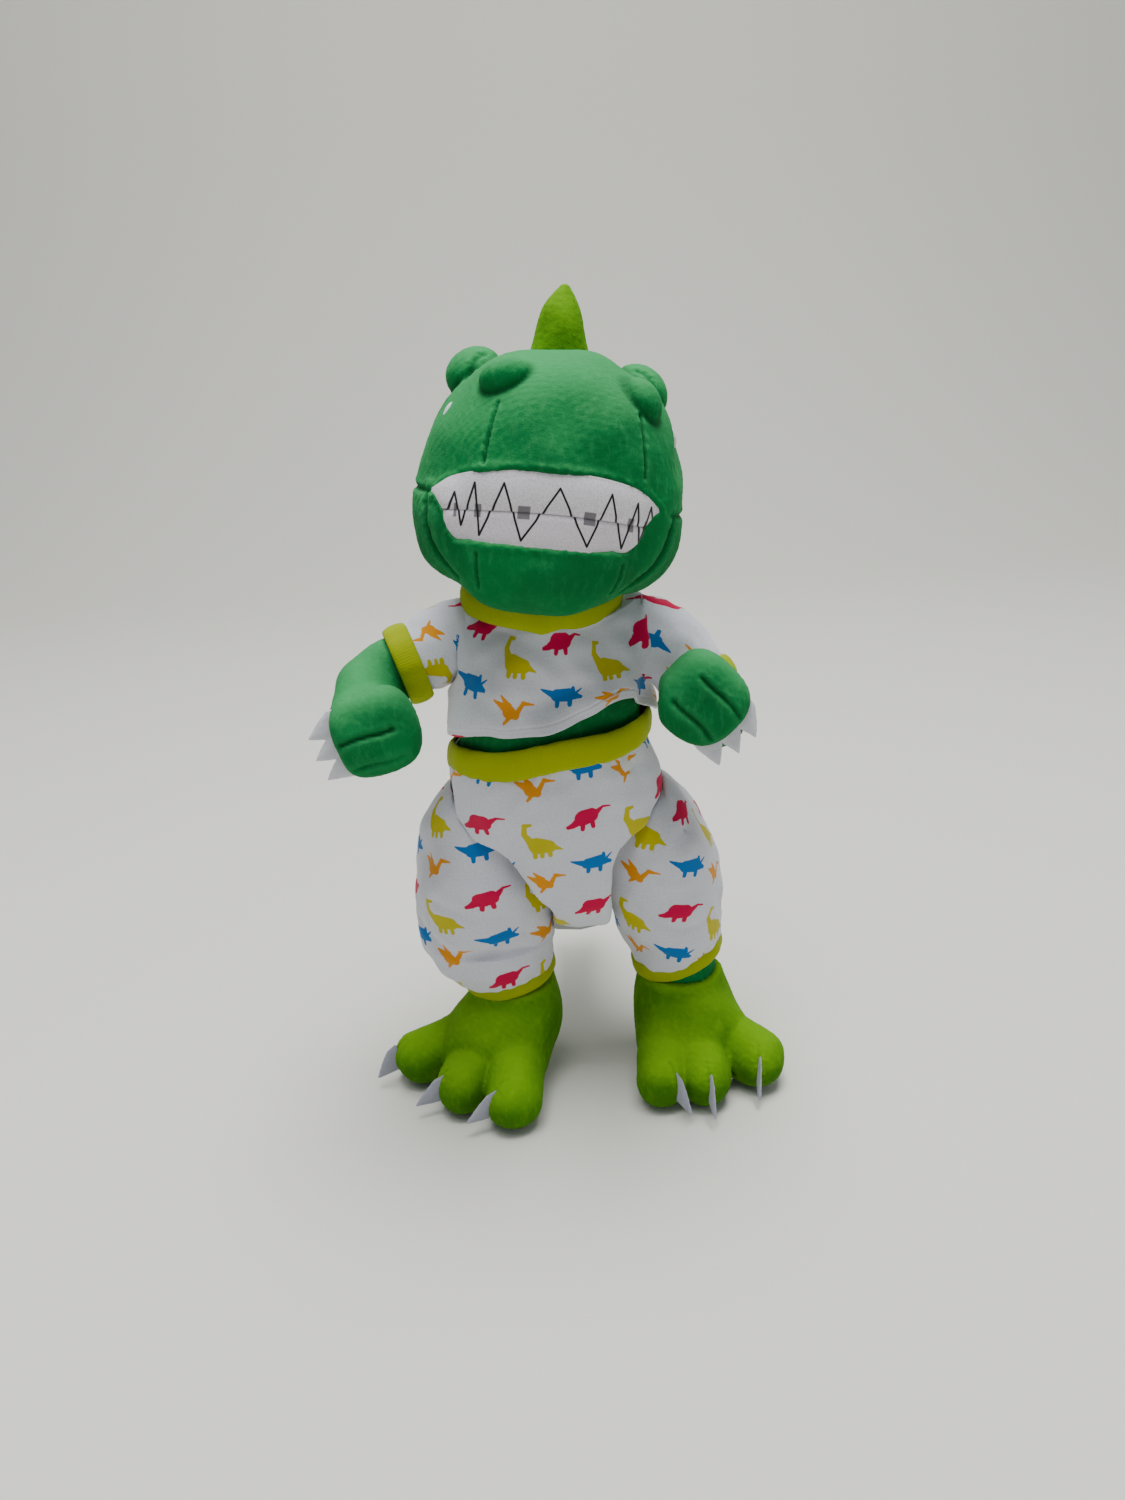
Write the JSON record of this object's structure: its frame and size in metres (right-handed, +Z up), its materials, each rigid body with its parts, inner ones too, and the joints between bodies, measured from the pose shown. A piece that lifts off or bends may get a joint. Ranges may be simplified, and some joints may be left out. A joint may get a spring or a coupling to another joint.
{
  "type": "stuffed dinosaur toy",
  "caption": "Upright plush dinosaur in printed pyjamas with a toothed grin, a head spike, three-clawed hands and feet, and sprung neck, arms, legs and tail.",
  "frame": {"origin": "on the floor, under the middle of the toy's bounding box", "axes": "+Z up, the toy faces -Y, its own left side is +X"},
  "size_m": [0.2224, 0.2023, 0.3899],
  "materials": {
    "green_plush": "short-pile plush, matt",
    "lime_plush": "short-pile plush, matt",
    "white_felt": "stiff felt",
    "grey_felt": "stiff felt",
    "teeth_fleece": "brushed fleece with stitched and printed teeth",
    "jersey_print": "cotton jersey printed with small animals",
    "lime_rib": "ribbed knit",
    "fibrefill": "polyester fibre",
    "pellets": "small plastic beads in a cloth pouch",
    "elastic_tape": "braided elastic",
    "fastener_tape": "hook and loop tape",
    "label_satin": "satin ribbon, blank"
  },
  "bodies": {
    "torso": {"torso_skin": "green_plush", "torso_stuffing": "fibrefill", "bean_pouch": "pellets", "trouser_body": "jersey_print", "waistband": "lime_rib", "waist_elastic": "elastic_tape", "shirt_body": "jersey_print", "shirt_collar": "lime_rib", "closure_loops": "fastener_tape", "closure_hooks": "fastener_tape", "neck_label": "label_satin"},
    "neck": {"neck_skin": "green_plush", "neck_stuffing": "fibrefill"},
    "head": {"head_gusset": "green_plush", "chin_panel": "green_plush", "head_side_left": "green_plush", "head_side_right": "green_plush", "teeth_band": "teeth_fleece", "head_stuffing": "fibrefill", "head_spike": "lime_plush", "nape_spike": "lime_plush", "brow_left": "green_plush", "eye_left": "white_felt", "nostril_left": "green_plush", "brow_right": "green_plush", "eye_right": "white_felt", "nostril_right": "green_plush"},
    "arm_left": {"arm_skin_left": "green_plush", "arm_stuffing_left": "fibrefill", "sleeve_left": "jersey_print", "sleeve_cuff_left": "lime_rib", "hand_claw_left_1": "white_felt", "hand_claw_left_2": "white_felt", "hand_claw_left_3": "white_felt"},
    "arm_right": {"arm_skin_right": "green_plush", "arm_stuffing_right": "fibrefill", "sleeve_right": "jersey_print", "sleeve_cuff_right": "lime_rib", "hand_claw_right_1": "white_felt", "hand_claw_right_2": "white_felt", "hand_claw_right_3": "white_felt"},
    "leg_left": {"trouser_leg_left": "jersey_print", "trouser_cuff_left": "lime_rib", "leg_skin_left": "green_plush", "foot_skin_left": "lime_plush", "leg_stuffing_left": "fibrefill", "foot_claw_left_1": "grey_felt", "foot_claw_left_2": "grey_felt", "foot_claw_left_3": "grey_felt"},
    "leg_right": {"trouser_leg_right": "jersey_print", "trouser_cuff_right": "lime_rib", "leg_skin_right": "green_plush", "foot_skin_right": "lime_plush", "leg_stuffing_right": "fibrefill", "foot_claw_right_1": "grey_felt", "foot_claw_right_2": "grey_felt", "foot_claw_right_3": "grey_felt"},
    "tail": {"tail_skin": "green_plush", "tail_stuffing": "fibrefill", "tail_spike": "lime_plush"}
  },
  "joints": [
    {"name": "neck_turn", "type": "hinge", "parent": "torso", "child": "neck", "pos_m": [-0.0017, -0.0158, 0.26], "axis": [0, 0, 1], "range_deg": [-25, 25], "stiffness_Nm_per_rad": 0.6},
    {"name": "neck_nod", "type": "hinge", "parent": "neck", "child": "head", "pos_m": [-0.0017, -0.0158, 0.26], "axis": [1, 0, 0], "range_deg": [-8, 10], "stiffness_Nm_per_rad": 0.6},
    {"name": "shoulder_left", "type": "hinge", "parent": "torso", "child": "arm_left", "pos_m": [0.0423, -0.0188, 0.232], "axis": [-1, 0, 0], "range_deg": [-30, 18], "stiffness_Nm_per_rad": 0.25},
    {"name": "shoulder_right", "type": "hinge", "parent": "torso", "child": "arm_right", "pos_m": [-0.0497, -0.0188, 0.232], "axis": [-1, 0, 0], "range_deg": [-30, 18], "stiffness_Nm_per_rad": 0.25},
    {"name": "hip_left", "type": "hinge", "parent": "torso", "child": "leg_left", "pos_m": [0.0183, -0.0158, 0.112], "axis": [-1, 0, 0], "range_deg": [-20, 65], "stiffness_Nm_per_rad": 1.5},
    {"name": "hip_right", "type": "hinge", "parent": "torso", "child": "leg_right", "pos_m": [-0.0097, -0.0158, 0.112], "axis": [-1, 0, 0], "range_deg": [-20, 65], "stiffness_Nm_per_rad": 1.5},
    {"name": "tail_wag", "type": "hinge", "parent": "torso", "child": "tail", "pos_m": [0.0043, 0.0282, 0.104], "axis": [0, 0, 1], "range_deg": [-20, 20], "stiffness_Nm_per_rad": 0.25}
  ]
}
